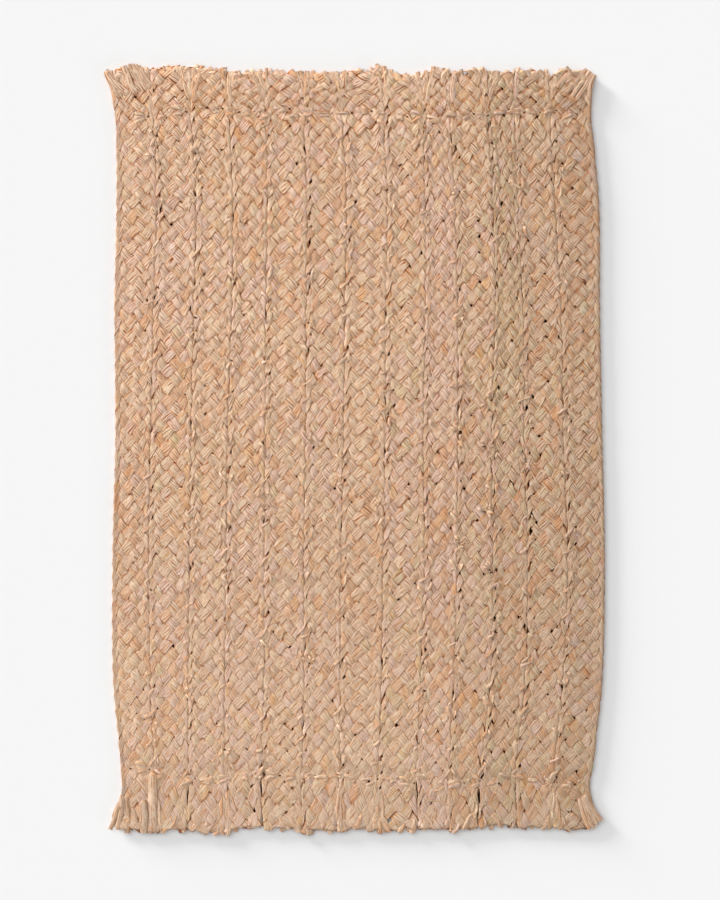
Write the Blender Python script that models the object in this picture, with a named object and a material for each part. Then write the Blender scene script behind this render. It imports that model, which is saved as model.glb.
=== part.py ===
"""Raffia placemat: thirteen flat plaits laid side by side and sewn edge to edge.

Run it with: blender --background --python part.py
X runs across the mat, Y along it and Z up. The origin is the middle of the underside.
Sizes below are in millimetres, and MM turns them into Blender's metres.
"""
import math
import random

import bmesh
import bpy

MM = 0.001

# The plait. Its strands cross over and under at a slant, so each edge is a row of small loops.
STRANDS = 7
LOOP_PITCH = 9.75
LOOP_DEPTH = 0.42
PLAIT_THICK = 2.6
EDGE_SHARE = 0.5
CROWN_POWER = 0.55
FOOT_INSET = 0.7
SEAM_GAP = 0.3
RING_STEP_LOOPS = 1.5
RIPPLE = 0.22
RIPPLE_LENGTH = 118.0

# Fractions across a strip at which its upper face has a point.
BODY_ACROSS = (0.0, 0.2, 0.5, 0.8, 1.0)
FOOT_ACROSS = (0.0, 1.0)
ROOT_ACROSS = tuple(i / STRANDS for i in range(STRANDS + 1))

# Where the seams run. A column is a height along the mat. A row is one seam, from the mat's
# left edge (first row) through its twelve seams to the right edge (last row).
STATION_Y = {
    "top_tip": 248.0,
    "top_row": 217.5,
    "upper": 162.0,
    "high_middle": 91.0,
    "middle": 13.0,
    "low_middle": -72.0,
    "lower": -150.0,
    "bottom_row": -212.5,
    "bottom_tip": -247.0,
}
SEAM_X = (
    (-161.8, -155.6, -154.7, -156.0, -155.4, -157.3, -156.9, -152.2, -159.4),
    (-133.6, -131.6, -129.0, -131.0, -132.9, -134.2, -132.9, -130.7, -129.3),
    (-107.6, -106.9, -103.4, -105.0, -106.6, -107.6, -108.6, -108.6, -109.2),
    (-84.2, -82.2, -79.6, -80.3, -82.9, -83.9, -84.8, -85.2, -84.2),
    (-61.1, -58.2, -57.2, -58.2, -58.5, -59.2, -59.2, -61.4, -60.4),
    (-32.8, -33.2, -31.5, -31.9, -32.2, -33.5, -33.2, -34.8, -35.1),
    (-10.1, -8.8, -5.9, -6.8, -7.8, -9.4, -10.1, -10.4, -13.0),
    (17.9, 18.2, 20.8, 19.6, 19.4, 17.9, 16.9, 14.3, 10.7),
    (41.3, 43.9, 45.2, 45.5, 44.1, 44.9, 42.3, 39.8, 40.6),
    (60.8, 61.1, 64.5, 66.3, 66.6, 65.8, 63.7, 60.8, 61.8),
    (82.2, 85.5, 89.4, 90.7, 88.4, 89.1, 87.8, 80.7, 79.4),
    (102.4, 103.0, 105.0, 108.9, 109.5, 111.8, 110.2, 103.7, 106.0),
    (125.8, 126.4, 129.4, 133.6, 134.9, 137.8, 134.6, 128.4, 127.7),
    (154.8, 152.3, 157.2, 157.8, 159.3, 161.0, 159.5, 153.6, 159.2),
)

# The slit between two strips' free ends, past the stitched rows, one row for each seam.
SLIT_COLUMNS = ("top", "bottom")
SLITS = (
    (0.4, 0.5),
    (0.6, 1.3),
    (0.6, 0.5),
    (0.5, 1.7),
    (0.6, 0.7),
    (0.5, 0.5),
    (0.6, 0.5),
    (0.4, 1.3),
    (0.5, 0.5),
    (0.6, 2.0),
    (0.6, 0.9),
    (0.6, 0.5),
)

# A slit opens from the stitched row as a half wave does and narrows again at the tips.
SLIT_FROM = 0.02
SLIT_TO = 0.8

# How far each strip's cut ends reach from the mat's middle line, at its left side, middle and
# right side, and how much of that end is loose strands. One row for each strip.
END_COLUMNS = (
    "top_left", "top_middle", "top_right", "top_loose",
    "bottom_left", "bottom_middle", "bottom_right", "bottom_loose",
)
ENDS = (
    (244.5, 249.4, 247.3, 11.0, 244.6, 247.6, 249.2, 17.0),
    (248.4, 249.4, 248.8, 4.0, 248.6, 247.3, 247.3, 4.0),
    (249.4, 247.6, 248.0, 4.5, 247.6, 249.0, 249.2, 4.0),
    (244.6, 246.6, 246.2, 4.0, 248.6, 245.6, 244.2, 3.5),
    (248.6, 246.6, 247.2, 3.5, 246.2, 246.6, 248.8, 4.0),
    (246.2, 245.8, 245.8, 3.5, 249.6, 247.6, 248.4, 5.0),
    (245.4, 247.2, 250.0, 5.0, 248.2, 247.0, 248.6, 5.5),
    (248.2, 245.4, 244.8, 5.5, 249.6, 247.6, 247.4, 4.5),
    (245.6, 247.6, 247.4, 3.5, 245.4, 246.2, 245.6, 3.5),
    (246.8, 247.2, 248.6, 3.5, 246.2, 246.2, 246.6, 3.5),
    (246.8, 245.6, 245.6, 3.5, 246.0, 245.4, 246.2, 4.0),
    (247.6, 246.6, 246.2, 4.5, 246.6, 246.2, 245.6, 4.0),
    (243.6, 247.2, 244.2, 7.0, 245.4, 246.2, 241.4, 9.0),
)
TIP_RAGGED = 1.2
TIP_SHARE = 0.34
TIP_SLANT = 0.7
TIP_THICK = 1.3
ROOT_THICK = 2.1
TIP_NARROWING = 0.6
LONG_TIP = 8.0
LONG_STEPS = 3

# The stitched rows, as heights along the mat at a few places across it.
ROW_X = (-152.0, -120.0, -95.0, -78.0, -35.0, 0.0, 30.0, 60.0, 100.0, 150.0)
ROW_TOP_Y = (216.4, 217.4, 220.0, 219.6, 219.2, 219.2, 216.6, 216.0, 218.8, 217.6)
ROW_BOTTOM_Y = (-207.0, -210.2, -213.2, -209.8, -213.0, -212.4, -214.4, -216.4, -214.8, -215.4)
ROW_MARGIN = 2.5
PINCH_THICK = 1.9
PINCH_HALF = 4.2
PINCH_FADE = 5.5
PLAIN_MARGIN = 8.0
TAIL_MIDDLE = 0.6
STITCH_LENGTH = 8.8
STITCH_HIGH = 1.3
STITCH_LOW = 0.85
STITCH_WIDE = 2.9
STITCH_NARROW = 1.5
STITCH_SWAY = 0.55
STITCH_SHOULDER = 0.45
STITCH_FOOT = 0.7
ROW_CLEAR = 0.3

# Strands dry to slightly different tans; the right-hand strips have more olive in them.
RAFFIA_TONES = {
    "sand": (0.60, 0.39, 0.25),
    "straw": (0.62, 0.41, 0.25),
    "blush": (0.61, 0.39, 0.28),
    "olive": (0.50, 0.36, 0.20),
    "amber": (0.55, 0.33, 0.19),
}
STRIP_TONES = (
    "sand", "sand", "blush", "sand", "straw", "straw", "sand",
    "straw", "blush", "straw", "olive", "amber", "straw",
)
THREAD_TONE = (0.68, 0.47, 0.30)
STRAND_ROUGHNESS = 0.75
THREAD_ROUGHNESS = 0.7

rng = random.Random(13)


def clear_scene():
    for thing in list(bpy.data.objects):
        bpy.data.objects.remove(thing, do_unlink=True)


def material(name, tone, roughness):
    made = bpy.data.materials.new(name)
    made.use_nodes = True
    shader = made.node_tree.nodes["Principled BSDF"]
    shader.inputs["Base Color"].default_value = (*tone, 1.0)
    shader.inputs["Roughness"].default_value = roughness
    shader.inputs["Metallic"].default_value = 0.0
    made.diffuse_color = (*tone, 1.0)
    return made


def smooth(places, values, at):
    """A smooth curve through the values, read at one place."""
    last = len(places) - 1
    if at <= places[0]:
        return values[0]
    if at >= places[last]:
        return values[last]
    i = max(k for k in range(last) if places[k] <= at)

    def slope(k):
        before = max(k - 1, 0)
        after = min(k + 1, last)
        return (values[after] - values[before]) / (places[after] - places[before])

    span = places[i + 1] - places[i]
    t = (at - places[i]) / span
    start = (2 * t**3 - 3 * t**2 + 1) * values[i] + (t**3 - 2 * t**2 + t) * span * slope(i)
    end = (3 * t**2 - 2 * t**3) * values[i + 1] + (t**3 - t**2) * span * slope(i + 1)
    return start + end


STATIONS_UP = tuple(reversed(tuple(STATION_Y.values())))
SEAMS_UP = tuple(tuple(reversed(row)) for row in SEAM_X)


def seam_x(seam, y):
    return smooth(STATIONS_UP, SEAMS_UP[seam], y)


def row_y(end, x):
    return smooth(ROW_X, ROW_TOP_Y if end == "top" else ROW_BOTTOM_Y, x)


def slit_half(seam, y):
    """Half the gap at a seam: the sewing gap, wider where the ends hang free of each other."""
    if seam in (0, len(SEAM_X) - 1):
        return 0.0
    end = "top" if y > 0 else "bottom"
    past_row = abs(y) - abs(STATION_Y[end + "_row"])
    free = abs(STATION_Y[end + "_tip"]) - abs(STATION_Y[end + "_row"])
    share = min(max(past_row / free, 0.0), 1.0)
    width = SLITS[seam - 1][SLIT_COLUMNS.index(end)]
    opening = math.sin(math.pi * (SLIT_FROM + (SLIT_TO - SLIT_FROM) * share)) if share > 0 else 0.0
    return SEAM_GAP / 2 + width / 2 * opening


def loops(y):
    """How far the small loops of a plait's outer edge stand out or in."""
    return LOOP_DEPTH * math.cos(2 * math.pi * y / LOOP_PITCH)


def strip_sides(strip, y):
    left = seam_x(strip, y) + slit_half(strip, y)
    right = seam_x(strip + 1, y) - slit_half(strip + 1, y)
    if strip == 0:
        left += loops(y)
    if strip == len(SEAM_X) - 2:
        right -= loops(y)
    return left, right


def ripple(strip, y):
    """Each strip swells a little here and there along its length."""
    return RIPPLE * math.sin(2 * math.pi * y / RIPPLE_LENGTH + 2.1 * strip)


class Solid:
    """One closed body, lofted section by section and then opened out into strand tips."""

    def __init__(self):
        self.mesh = bmesh.new()

    def point(self, x, y, z):
        return self.mesh.verts.new((x * MM, y * MM, z * MM))

    def face(self, *corners):
        self.mesh.faces.new(corners)

    def band(self, near, far):
        """Fills the band between two rows of points that may differ in number."""
        i = 0
        j = 0
        while i < len(near) - 1 or j < len(far) - 1:
            near_share = (i + 1) / (len(near) - 1) if i < len(near) - 1 else 2.0
            far_share = (j + 1) / (len(far) - 1) if j < len(far) - 1 else 2.0
            if near_share <= far_share:
                self.face(near[i], near[i + 1], far[j])
                i += 1
            else:
                self.face(near[i], far[j + 1], far[j])
                j += 1

    def loft(self, near, far):
        """Joins two sections, each an upper and a lower row of points from left to right."""
        self.band(near["top"], far["top"])
        self.band(far["foot"], near["foot"])
        self.face(near["foot"][0], near["top"][0], far["top"][0], far["foot"][0])
        self.face(far["foot"][-1], far["top"][-1], near["top"][-1], near["foot"][-1])

    def cap(self, section):
        self.face(*section["top"], *reversed(section["foot"]))

    def finish(self, name, finish):
        bmesh.ops.recalc_face_normals(self.mesh, faces=self.mesh.faces)
        bmesh.ops.triangulate(self.mesh, faces=self.mesh.faces)
        data = bpy.data.meshes.new(name)
        self.mesh.to_mesh(data)
        self.mesh.free()
        data.materials.append(finish)
        thing = bpy.data.objects.new(name, data)
        bpy.context.scene.collection.objects.link(thing)
        return thing


def crown(thick, across):
    """Height of a strip's upper face, rounded from edge to edge."""
    rise = math.sin(math.pi * across) ** CROWN_POWER if 0 < across < 1 else 0.0
    return thick * (EDGE_SHARE + (1 - EDGE_SHARE) * rise)


def strip_section(solid, strip, height, thick, top_across, foot_across):
    """One section of a strip. height gives the place along the mat for a fraction across."""

    def place(across):
        y = height(across)
        left, right = strip_sides(strip, y)
        return left + (right - left) * across, y

    def foot_place(across):
        x, y = place(across)
        return x + FOOT_INSET * (1 - 2 * across), y

    return {
        "top": [solid.point(*place(a), crown(thick, a)) for a in top_across],
        "foot": [solid.point(*foot_place(a), 0.0) for a in foot_across],
    }


def end_reach(strip, end, across):
    row = dict(zip(END_COLUMNS, ENDS[strip]))
    reaches = [row[end + part] for part in ("_left", "_middle", "_right")]
    return smooth((0.0, 0.5, 1.0), reaches, across)


def strand_tips(solid, strip, end, root):
    """Opens a strip's end into its loose strands, which share only the root section."""
    sign = 1 if end == "top" else -1
    loose = dict(zip(END_COLUMNS, ENDS[strip]))[end + "_loose"]
    steps = LONG_STEPS if loose > LONG_TIP else 1
    left, right = strip_sides(strip, STATION_Y[end + "_tip"])
    half = (right - left) / STRANDS * TIP_SHARE
    for strand in range(STRANDS):
        across = (strand + 0.5) / STRANDS
        centre = left + (right - left) * across
        reach = end_reach(strip, end, across) + TIP_RAGGED * rng.uniform(-0.6, 0.4)
        slant = TIP_SLANT * rng.uniform(-1, 1)
        near = {part: root[part][strand:strand + 2] for part in ("top", "foot")}
        starts = [(point.co.x / MM, point.co.y / MM) for point in near["top"]]
        tips = [(centre + side * half, sign * (reach + side * slant)) for side in (-1, 1)]
        for step in range(1, steps + 1):
            t = step / steps
            drawn_in = t ** TIP_NARROWING
            thick = ROOT_THICK + (TIP_THICK - ROOT_THICK) * t
            places = [
                (start[0] + (tip[0] - start[0]) * drawn_in, start[1] + (tip[1] - start[1]) * t)
                for start, tip in zip(starts, tips)
            ]
            far = {
                "top": [solid.point(x, y, thick) for x, y in places],
                "foot": [solid.point(x, y, 0.0) for x, y in places],
            }
            solid.loft(near, far)
            near = far
        solid.cap(near)


def strip_end(solid, strip, end):
    """The sections from the last full one to the strand roots, going outwards."""
    sign = 1 if end == "top" else -1
    left_row = seam_x(strip, STATION_Y[end + "_row"])
    right_row = seam_x(strip + 1, STATION_Y[end + "_row"])
    loose = dict(zip(END_COLUMNS, ENDS[strip]))[end + "_loose"]

    def at_row(offset):
        return lambda across: row_y(end, left_row + (right_row - left_row) * across) + sign * offset

    def at_root(across):
        return sign * (end_reach(strip, end, across) - loose)

    def at_half(across):
        near = at_row(PINCH_HALF + PINCH_FADE)(across)
        return near + (at_root(across) - near) * TAIL_MIDDLE

    plain = (BODY_ACROSS, FOOT_ACROSS)
    fine = (ROOT_ACROSS, ROOT_ACROSS)
    full = PLAIT_THICK + ripple(strip, STATION_Y[end + "_row"])
    return [
        strip_section(solid, strip, at_row(-PINCH_HALF - PINCH_FADE), full, *plain),
        strip_section(solid, strip, at_row(-PINCH_HALF), PINCH_THICK, *plain),
        strip_section(solid, strip, at_row(PINCH_HALF), PINCH_THICK, *plain),
        strip_section(solid, strip, at_half, PLAIT_THICK, *plain),
        strip_section(solid, strip, at_root, ROOT_THICK, *fine),
    ]


def make_strip(strip):
    """One plait, from its lower cut end to its upper one."""
    solid = Solid()
    outer = strip in (0, len(SEAM_X) - 2)
    step = LOOP_PITCH / 2 if outer else LOOP_PITCH * RING_STEP_LOOPS
    reach = abs(STATION_Y["bottom_row"]) - PINCH_HALF - PINCH_FADE - PLAIN_MARGIN
    count = int(reach / step)
    middle = []
    for i in range(-count, count + 1):
        y = i * step
        thick = PLAIT_THICK + ripple(strip, y)
        middle.append(strip_section(solid, strip, lambda a, y=y: y, thick, BODY_ACROSS, FOOT_ACROSS))
    bottom = strip_end(solid, strip, "bottom")
    top = strip_end(solid, strip, "top")
    sections = list(reversed(bottom)) + middle + top
    for near, far in zip(sections, sections[1:]):
        solid.loft(near, far)
    strand_tips(solid, strip, "bottom", sections[0])
    strand_tips(solid, strip, "top", sections[-1])
    tone = STRIP_TONES[strip]
    return solid.finish(f"strip_{strip + 1:02d}", RAFFIA[tone])


def make_stitch_row(end):
    """One row of overlapping stitches, seated on the strips where it draws them thin."""
    solid = Solid()
    first = seam_x(0, STATION_Y[end + "_row"]) + ROW_MARGIN
    last = seam_x(len(SEAM_X) - 1, STATION_Y[end + "_row"]) - ROW_MARGIN
    stitches = round((last - first) / STITCH_LENGTH)
    seat = PINCH_THICK + ROW_CLEAR
    sections = []
    for i in range(2 * stitches + 1):
        x = first + (last - first) * i / (2 * stitches)
        belly = i % 2
        wide = (STITCH_WIDE if belly else STITCH_NARROW) * rng.uniform(0.85, 1.1)
        high = (STITCH_HIGH if belly else STITCH_LOW) * rng.uniform(0.9, 1.1)
        y = row_y(end, x) + STITCH_SWAY * (1 if i % 4 < 2 else -1)
        sections.append({
            "top": [
                solid.point(x, y + wide / 2, seat + high * STITCH_SHOULDER),
                solid.point(x, y, seat + high),
                solid.point(x, y - wide / 2, seat + high * STITCH_SHOULDER),
            ],
            "foot": [
                solid.point(x, y + wide / 2 * STITCH_FOOT, seat),
                solid.point(x, y - wide / 2 * STITCH_FOOT, seat),
            ],
        })
    for near, far in zip(sections, sections[1:]):
        solid.loft(near, far)
    solid.cap(sections[0])
    solid.cap(sections[-1])
    return solid.finish(f"stitch_row_{end}", THREAD)


clear_scene()
RAFFIA = {name: material(f"raffia_{name}", tone, STRAND_ROUGHNESS) for name, tone in RAFFIA_TONES.items()}
THREAD = material("raffia_thread", THREAD_TONE, THREAD_ROUGHNESS)
for number in range(len(SEAM_X) - 1):
    make_strip(number)
for which in ("top", "bottom"):
    make_stitch_row(which)
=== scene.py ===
# Raffia placemat: the weave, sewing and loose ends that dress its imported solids.
# X runs across the mat, Y along it and Z up. Lengths are in millimetres until a mesh is filled.
import math

import bpy
import numpy as np
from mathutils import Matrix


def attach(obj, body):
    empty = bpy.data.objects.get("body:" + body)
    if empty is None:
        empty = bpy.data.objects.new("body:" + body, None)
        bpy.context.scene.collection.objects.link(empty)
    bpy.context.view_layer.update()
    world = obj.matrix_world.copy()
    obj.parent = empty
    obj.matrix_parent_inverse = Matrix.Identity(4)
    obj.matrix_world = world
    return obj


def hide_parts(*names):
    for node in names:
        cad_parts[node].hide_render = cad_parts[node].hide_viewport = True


mm = 0.001
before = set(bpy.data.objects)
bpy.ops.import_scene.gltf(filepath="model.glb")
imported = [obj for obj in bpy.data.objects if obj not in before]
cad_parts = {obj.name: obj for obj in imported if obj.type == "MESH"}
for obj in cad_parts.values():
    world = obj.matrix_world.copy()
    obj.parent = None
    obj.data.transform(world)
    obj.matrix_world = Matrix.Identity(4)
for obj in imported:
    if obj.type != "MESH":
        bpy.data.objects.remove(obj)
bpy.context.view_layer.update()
scene = bpy.context.scene
print("frame: %d solids" % len(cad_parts))


def mathNode(operation):  # a method that adds one Math node
    return lambda self, *others: self.maths(operation, *others)


class Wire:  # one socket, so that Python's operators write Math nodes
    def __init__(self, bench, socket):
        self.bench = bench
        self.socket = socket

    def maths(self, operation, *others):
        sockets = dict(enumerate((self, *others)))
        return self.bench.wire("ShaderNodeMath", {"operation": operation}, sockets)

    __add__ = __radd__ = mathNode("ADD")
    __sub__ = mathNode("SUBTRACT")
    __mul__ = __rmul__ = mathNode("MULTIPLY")
    __truediv__ = mathNode("DIVIDE")
    __mod__ = mathNode("FLOORED_MODULO")
    __lt__ = mathNode("LESS_THAN")
    __abs__ = mathNode("ABSOLUTE")
    sin = mathNode("SINE")
    cos = mathNode("COSINE")
    sqrt = mathNode("SQRT")
    sign = mathNode("SIGN")
    power = mathNode("POWER")

    def __rsub__(self, other):
        return self.maths("MULTIPLY_ADD", -1.0, other)

    def __rtruediv__(self, other):
        return self.bench.wire("ShaderNodeMath", {"operation": "DIVIDE"}, {0: other, 1: self})

    def __neg__(self):
        return self.maths("MULTIPLY", -1.0)

    def nearest(self):  # the nearest whole number
        return (self + 0.5).maths("FLOOR")

    def swell(self, low, high):  # 0 below low, 1 above high and smooth between them
        settings = {"interpolation_type": "SMOOTHSTEP"}
        sockets = {"Value": self, "From Min": low, "From Max": high}
        return self.bench.wire("ShaderNodeMapRange", settings, sockets)


class Bench:  # a node tree with one way to add a node
    def __init__(self, tree):
        self.tree = tree

    def node(self, kind, settings={}, sockets={}):
        made = self.tree.nodes.new(kind)
        for name, value in settings.items():
            if name == "stops":
                self.stop(made.color_ramp, value)
            else:
                setattr(made, name, value)
        for key, value in sockets.items():
            self.plug(self.pick(made.inputs, key), value)
        return made

    def stop(self, ramp, stops):
        while len(ramp.elements) < len(stops):
            ramp.elements.new(1.0)
        for element, (place, colour) in zip(ramp.elements, stops):
            element.position = place
            element.color = colour

    def pick(self, sockets, key):
        if isinstance(key, int):
            return sockets[key]
        named = [s for s in sockets if s.identifier == key]
        return (named or [s for s in sockets if s.name == key and s.enabled])[0]

    def plug(self, socket, value):
        if isinstance(value, Wire):
            value = value.socket
        if isinstance(value, bpy.types.NodeSocket):
            self.tree.links.new(value, socket)
        else:
            socket.default_value = value

    def wire(self, kind, settings={}, sockets={}, output=0):
        made = self.node(kind, settings, sockets)
        return Wire(self, self.pick(made.outputs, output))

    def spot(self, x, y, z=0.0):
        return self.wire("ShaderNodeCombineXYZ", {}, {"X": x, "Y": y, "Z": z})

    def parts(self, vector):  # its three numbers
        split = self.node("ShaderNodeSeparateXYZ", {}, {0: vector})
        return [Wire(self, socket) for socket in split.outputs]

    def noise(self, x, y, z=0.0, **sockets):
        sockets = {"Vector": self.spot(x, y, z), "Scale": 1.0, **sockets}
        return self.wire("ShaderNodeTexNoise", {}, sockets)

    def work(self, kind, shape, sockets={}, settings={}):  # one step on a shape
        return self.wire(kind, settings, {0: shape, **sockets})

    def keep(self, shape, label, value):  # a number kept on each of a shape's points
        settings = {"data_type": "FLOAT", "domain": "POINT"}
        sockets = {"Name": label, "Value": value}
        return self.work("GeometryNodeStoreNamedAttribute", shape, sockets, settings)

    def kept(self, label):
        return self.wire("GeometryNodeInputNamedAttribute", {"data_type": "FLOAT"}, {"Name": label})

    def finish(self, shape, material):  # smooth, with no instances left and in its material
        soft = self.work("GeometryNodeSetShadeSmooth", shape)
        whole = self.work("GeometryNodeRealizeInstances", soft)
        painted = self.work("GeometryNodeSetMaterial", whole, {"Material": material})
        self.node("NodeGroupOutput", {}, {"Geometry": painted})


def geometryTree(name, inputs, body=False):  # a tree with named inputs, its bench and a wire for each
    tree = bpy.data.node_groups.new(name, "GeometryNodeTree")
    if body:
        tree.interface.new_socket("Geometry", in_out="INPUT", socket_type="NodeSocketGeometry")
    kinds = {int: "NodeSocketInt", float: "NodeSocketFloat", bpy.types.Material: "NodeSocketMaterial"}
    for label, value in inputs.items():
        socket = tree.interface.new_socket(label, in_out="INPUT", socket_type=kinds[type(value)])
        if not isinstance(value, bpy.types.Material):
            socket.default_value = value
    tree.interface.new_socket("Geometry", in_out="OUTPUT", socket_type="NodeSocketGeometry")
    bench = Bench(tree)
    start = bench.node("NodeGroupInput")
    return tree, bench, {socket.name: Wire(bench, socket) for socket in start.outputs if socket.name}


def show(name, data):
    made = bpy.data.objects.new(name, data)
    scene.collection.objects.link(made)
    return made


def newMaterial(name):  # with its bench and its shader's sockets
    material = bpy.data.materials.new(name)
    material.use_nodes = True
    return material, Bench(material.node_tree), material.node_tree.nodes["Principled BSDF"].inputs


def grow(name, tree, values, body=None):  # runs a tree on an object and keeps the plain mesh
    carrier = show(name + "Carrier", body or bpy.data.meshes.new(name))
    modifier = carrier.modifiers.new("grow", "NODES")
    modifier.node_group = tree
    for socket in tree.interface.items_tree:
        if socket.in_out == "INPUT" and socket.name in values:
            modifier[socket.identifier] = values[socket.name]
    depsgraph = bpy.context.evaluated_depsgraph_get()
    mesh = bpy.data.meshes.new_from_object(carrier.evaluated_get(depsgraph), depsgraph=depsgraph)
    bpy.data.objects.remove(carrier)
    mesh.name = name
    return show(name, mesh)


def read(items, field, width=1, kind=np.float32):  # one field of all of a mesh's points, edges or faces
    flat = np.zeros(len(items) * width, kind)
    items.foreach_get(field, flat)
    return flat.reshape(-1, width) if width > 1 else flat


def readPoints(mesh):
    return read(mesh.vertices, "co", 3).astype(float) / mm


def writePoints(mesh, points):
    mesh.vertices.foreach_set("co", (points * mm).astype(np.float32).ravel())
    mesh.update()


def readEdges(mesh):  # the two points of each edge
    return read(mesh.edges, "vertices", 2, np.int32)


def readValues(mesh, name):
    return read(mesh.attributes[name].data, "value").astype(float)


def writeValues(mesh, name, values):
    layer = mesh.attributes.get(name) or mesh.attributes.new(name, "FLOAT", "POINT")
    layer.data.foreach_set("value", values.astype(np.float32))


def linear(red, green, blue):  # screen colours from 0 to 255, as the renderer wants them
    return tuple(round(((c / 255 + 0.055) / 1.055) ** 2.4, 4) for c in (red, green, blue))


def swell(value, low, high):  # 0 below low, 1 above high and smooth between them
    share = np.clip((value - low) / (high - low), 0, 1)
    return share * share * (3 - 2 * share)


def fade(value, low, high):
    return 1 - swell(value, low, high)


def named(columns, rows):  # a table's rows, each with the names of its columns
    return [dict(zip(columns.split(), row)) for row in rows]


ends = {"top": 1, "bottom": -1}  # the mat's two cut ends, and which way each of them faces
seeds = {
    "wander": 40, "parting": 60, "laying": 100, "tones": 500, "seams": 700, "knots": 788,
    "rows": {"top": 811, "bottom": 822}, "tufts": {"top": 911, "bottom": 922},
    "frays": {"top": 951, "bottom": 962}, "strays": 977, "fibres": 991,
}


def dice(work, end=None, number=0):  # the random numbers of one piece of work
    return np.random.default_rng((seeds[work][end] if end else seeds[work]) + number)


# Where the solids are: each strip's two sides and the reach of its ends, read from the frame.
def crossings(node, axis, across, levels):
    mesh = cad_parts[node].data
    a, b = readPoints(mesh)[readEdges(mesh)].transpose(1, 0, 2)
    found = []
    for level in levels:
        cut = (a[:, axis] - level) * (b[:, axis] - level) <= 0
        cut &= a[:, axis] != b[:, axis]
        share = (level - a[cut, axis]) / (b[cut, axis] - a[cut, axis])
        met = a[cut, across] + (b[cut, across] - a[cut, across]) * share
        found.append((met.min(), met.max()))
    return np.array(found)


stripCount = sum(name.startswith("strip_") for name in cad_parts)
stripNames = ["strip_%02d" % (i + 1) for i in range(stripCount)]
sideHeights = np.arange(-240.0, 240.1, 2.0)
stripSides = [crossings(name, 1, 0, sideHeights) for name in stripNames]


# The sewing pulls each seam a little to and fro, and here and there its two plaits part.
seamWaves = {"wander": (37.0, 21.0, 13.0), "parting": (29.0, 17.0, 11.0)}  # how long, in millimetres


def seamSway(kind, seam, y):
    rng = dice(kind, number=seam)
    sway = 0.0 * y
    for length in seamWaves[kind]:
        sway = sway + np.sin(2 * np.pi * (y / (length * rng.uniform(0.85, 1.15)) + rng.uniform()))
    return sway


def seamWander(seam, y):
    return plait["wander"] * seamSway("wander", seam, y) * (0 < seam < stripCount)


# Where two plaits part below the bottom row: the seam, from where, to where and how wide.
slits = named("seam upper lower wide", (
    (2, -218.0, -231.0, -0.4), (4, -213.0, -227.0, -0.2), (5, -213.0, -226.0, -0.8),
    (8, -212.0, -233.0, -1.0), (10, -219.0, -231.0, -0.3), (11, -212.0, -230.0, -0.8),
))


def seamGap(seam, y):
    gap = plait["parting"] * swell(seamSway("parting", seam, y), 1.6, 2.4)
    for slit in slits:
        if slit["seam"] == seam:
            parted = swell(-y, -slit["upper"], -slit["upper"] + 5)
            parted = parted * fade(-y, -slit["lower"] - 4, -slit["lower"])
            gap = gap + (slit["wide"] / 2 + plait["close"] + plait["tailClose"] * tailShare(y)) * parted
    return gap


def tailShare(y):  # 0 in the sewn field and 1 in the raw ends
    return swell(abs(y), *plait["tail"])


def sides(strip, y):
    left = np.interp(y, sideHeights, stripSides[strip][:, 0]) + seamWander(strip, y)
    right = np.interp(y, sideHeights, stripSides[strip][:, 1]) + seamWander(strip + 1, y)
    return left, right


rowPlaces = np.arange(-148.0, 148.1, 4.0)
rowHeights = {end: crossings("stitch_row_" + end, 0, 1, rowPlaces).mean(1) for end in ends}


def rowHeight(end, x):
    return np.interp(x, rowPlaces, rowHeights[end])


plait = {
    "strands": 7,
    "strandWidth": 5.8,  # of one strand, pulled straight and flat
    "width": 25.0,  # as plaited, before it is laid between its seams
    "pitch": 9.75,  # from one edge loop to the next
    "swing": 0.38,  # how far a strand's middle rises over one neighbour and dips under the next
    "lead": 0.22,  # how early a strand comes up from under its neighbour
    "halfThick": 0.42,
    "columns": 5,  # sections of a strand from one crossing to the next
    "narrowing": 0.27,  # how unevenly wide a strand is
    "bulge": 0.17,  # how much wider a strand is where it shows than where it is hidden
    "reliefAt": (-246.0, -206.0, 0.0, 206.0, 236.0),  # heights up the mat, and the relief of its face there
    "relief": (0.60, 0.80, 0.95, 1.06, 1.40),
    "lowest": -246.0,
    "highest": 246.0,
    "middle": 1.9,  # height of the plait's middle plane
    "belly": 2.2,  # its underside hangs lower than its face stands up, down to the table
    "crown": 0.20,  # how much lower its two edges are than its middle
    "steepEdges": 0.42,  # strands run steeper near a plait's edges
    "close": 0.5,  # how far a plait's loops reach past its solid, to meet the next plait's
    "tailClose": 0.7,  # and how much further in the raw ends
    "tail": (206, 232),  # where the raw ends begin, up and down from the mat's middle
    "wander": 0.2,  # how far its seams sway
    "parting": 0.75,  # how far it parts from the next one at most
    "pressed": 0.18,  # how much the end rows press it down
    "pressedOver": (2.5, 8.0),  # to either side of them
    "outset": (0.6, 0.85),  # how far the loops of the mat's left and right sides reach past its solids
    "waist": (1.7, 3.1),  # and how far they draw in below the bottom row
    "waistFrom": (204, 219),
    "waistTo": (225, 240),
    "ragged": {"top": (-1.4, 0.6), "bottom": (-0.4, 1.8)},  # where strands are cut, past the solid's end
    "curl": {"left": 0.25, "right": 0.35, "top": 0.15, "bottom": 0.4},  # how far the mat's edges lift
    "curlOver": {"left": (0, 12), "right": (0, 14), "ends": (228, 246)},
    "paintedLight": {  # painted light and shade: how much lighter its raffia gets, and from where to where
        "left": (0.07, -15, -8), "right": (-0.14, -34, -8), "top": (0.07, 210, 224),
        "low": (-0.07, -60, 90), "bottom": (-0.09, 206, 225),
    },
    "rimShade": (-0.27, 0.5, 4.5),  # painted shade: the same for the mat's left edge itself, a darker rim
    "mottle": (0.05, 198, 212),  # how much its cells differ near the top end, and from where to where
}
strandMiddles = (np.arange(plait["strands"]) + 0.5) / plait["strands"]  # as shares of a plait's width
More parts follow.
